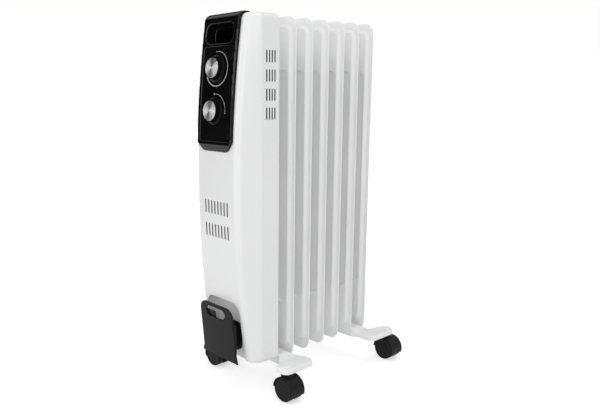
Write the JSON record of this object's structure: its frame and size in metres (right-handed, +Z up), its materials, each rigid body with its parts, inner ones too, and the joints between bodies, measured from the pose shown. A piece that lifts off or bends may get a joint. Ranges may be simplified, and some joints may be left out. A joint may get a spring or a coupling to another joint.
{
  "type": "oil filled radiator heater",
  "caption": "Upright oil filled radiator heater: white finned body, bowed control box with two rotary dials, cord winder and feet on swivel casters.",
  "frame": {"origin": "on the floor under the middle of the heater's bounding box", "axes": "+X to the right seen from the front, +Y to the back (the controls face -Y), +Z up"},
  "size_m": [0.236, 0.3677, 0.6269],
  "materials": {
    "white_enamel": "white baked enamel on pressed steel",
    "bracket_enamel": "white baked enamel on pressed steel",
    "white_housing": "smooth white coat with a soft sheen",
    "black_gloss": "polished black moulding",
    "black_satin": "fine-grained black moulding",
    "caster_black": "satin black moulding",
    "wheel_black": "satin black moulding",
    "spun_aluminium": "turned aluminium with a radial sheen",
    "zinc_steel": "zinc plated steel",
    "element_steel": "annealed steel tube",
    "brass": "turned brass",
    "switch_plastic": "moulded heat-proof plastic"
  },
  "bodies": {
    "heater": {"caster_front_left_stem": "bracket_enamel", "caster_front_right_stem": "bracket_enamel", "caster_rear_left_stem": "bracket_enamel", "caster_rear_right_stem": "bracket_enamel", "control_box": "white_housing", "control_nuts": "zinc_steel", "control_panel": "black_gloss", "cord_gland": "switch_plastic", "cord_winder": "black_satin", "element_flange": "brass", "filler_plug": "brass", "fin_1": "white_enamel", "fin_2": "white_enamel", "fin_3": "white_enamel", "fin_4": "white_enamel", "fin_5": "white_enamel", "fin_6": "white_enamel", "fin_7": "white_enamel", "front_foot_bracket": "bracket_enamel", "front_u_bolt": "zinc_steel", "front_wing_nuts": "zinc_steel", "heat_shield": "zinc_steel", "heating_elements": "element_steel", "housing_screws": "zinc_steel", "lower_end_cap": "white_enamel", "lower_gallery_sleeves": "white_enamel", "rear_foot_bracket": "bracket_enamel", "rear_u_bolt": "zinc_steel", "rear_wing_nuts": "zinc_steel", "selector_case": "switch_plastic", "terminal_block": "switch_plastic", "thermal_cutout": "switch_plastic", "thermostat_case": "switch_plastic", "upper_end_cap": "white_enamel", "upper_gallery_sleeves": "white_enamel", "winder_screws": "zinc_steel"},
    "thermostat_dial": {"thermostat_knob": "black_satin", "thermostat_cap": "spun_aluminium", "thermostat_spindle": "zinc_steel"},
    "selector_dial": {"selector_knob": "black_satin", "selector_cap": "spun_aluminium", "selector_spindle": "zinc_steel"},
    "caster_front_right": {"caster_front_right_hood": "caster_black", "caster_front_right_axle": "zinc_steel"},
    "caster_front_right_front_wheel_spin": {"caster_front_right_front_wheel": "wheel_black"},
    "caster_front_right_rear_wheel_spin": {"caster_front_right_rear_wheel": "wheel_black"},
    "caster_front_left": {"caster_front_left_hood": "caster_black", "caster_front_left_axle": "zinc_steel"},
    "caster_front_left_front_wheel_spin": {"caster_front_left_front_wheel": "wheel_black"},
    "caster_front_left_rear_wheel_spin": {"caster_front_left_rear_wheel": "wheel_black"},
    "caster_rear_right": {"caster_rear_right_hood": "caster_black", "caster_rear_right_axle": "zinc_steel"},
    "caster_rear_right_front_wheel_spin": {"caster_rear_right_front_wheel": "wheel_black"},
    "caster_rear_right_rear_wheel_spin": {"caster_rear_right_rear_wheel": "wheel_black"},
    "caster_rear_left": {"caster_rear_left_hood": "caster_black", "caster_rear_left_axle": "zinc_steel"},
    "caster_rear_left_front_wheel_spin": {"caster_rear_left_front_wheel": "wheel_black"},
    "caster_rear_left_rear_wheel_spin": {"caster_rear_left_rear_wheel": "wheel_black"}
  },
  "joints": [
    {"name": "thermostat_turn", "type": "hinge", "parent": "heater", "child": "thermostat_dial", "pos_m": [0, -0.16044, 0.5412], "axis": [0, 0.9938, -0.1113], "range_deg": [-46, 194]},
    {"name": "selector_turn", "type": "hinge", "parent": "heater", "child": "selector_dial", "pos_m": [0, -0.16645, 0.4764], "axis": [0, 0.9973, -0.0732], "range_deg": [0, 105]},
    {"name": "caster_front_right_swivel", "type": "hinge", "parent": "heater", "child": "caster_front_right", "pos_m": [0.0915, -0.0966, 0.045], "axis": [0, 0, 1], "continuous": true},
    {"name": "caster_front_right_front_wheel_roll", "type": "hinge", "parent": "caster_front_right", "child": "caster_front_right_front_wheel_spin", "pos_m": [0.0955, -0.0966, 0.02], "axis": [0, 1, 0], "continuous": true},
    {"name": "caster_front_right_rear_wheel_roll", "type": "hinge", "parent": "caster_front_right", "child": "caster_front_right_rear_wheel_spin", "pos_m": [0.0955, -0.0966, 0.02], "axis": [0, 1, 0], "continuous": true},
    {"name": "caster_front_left_swivel", "type": "hinge", "parent": "heater", "child": "caster_front_left", "pos_m": [-0.0915, -0.0966, 0.045], "axis": [0, 0, 1], "continuous": true},
    {"name": "caster_front_left_front_wheel_roll", "type": "hinge", "parent": "caster_front_left", "child": "caster_front_left_front_wheel_spin", "pos_m": [-0.0955, -0.0966, 0.02], "axis": [0, 1, 0], "continuous": true},
    {"name": "caster_front_left_rear_wheel_roll", "type": "hinge", "parent": "caster_front_left", "child": "caster_front_left_rear_wheel_spin", "pos_m": [-0.0955, -0.0966, 0.02], "axis": [0, 1, 0], "continuous": true},
    {"name": "caster_rear_right_swivel", "type": "hinge", "parent": "heater", "child": "caster_rear_right", "pos_m": [0.0915, 0.1686, 0.045], "axis": [0, 0, 1], "continuous": true},
    {"name": "caster_rear_right_front_wheel_roll", "type": "hinge", "parent": "caster_rear_right", "child": "caster_rear_right_front_wheel_spin", "pos_m": [0.0955, 0.1686, 0.02], "axis": [0, 1, 0], "continuous": true},
    {"name": "caster_rear_right_rear_wheel_roll", "type": "hinge", "parent": "caster_rear_right", "child": "caster_rear_right_rear_wheel_spin", "pos_m": [0.0955, 0.1686, 0.02], "axis": [0, 1, 0], "continuous": true},
    {"name": "caster_rear_left_swivel", "type": "hinge", "parent": "heater", "child": "caster_rear_left", "pos_m": [-0.0915, 0.1686, 0.045], "axis": [0, 0, 1], "continuous": true},
    {"name": "caster_rear_left_front_wheel_roll", "type": "hinge", "parent": "caster_rear_left", "child": "caster_rear_left_front_wheel_spin", "pos_m": [-0.0955, 0.1686, 0.02], "axis": [0, 1, 0], "continuous": true},
    {"name": "caster_rear_left_rear_wheel_roll", "type": "hinge", "parent": "caster_rear_left", "child": "caster_rear_left_rear_wheel_spin", "pos_m": [-0.0955, 0.1686, 0.02], "axis": [0, 1, 0], "continuous": true}
  ]
}
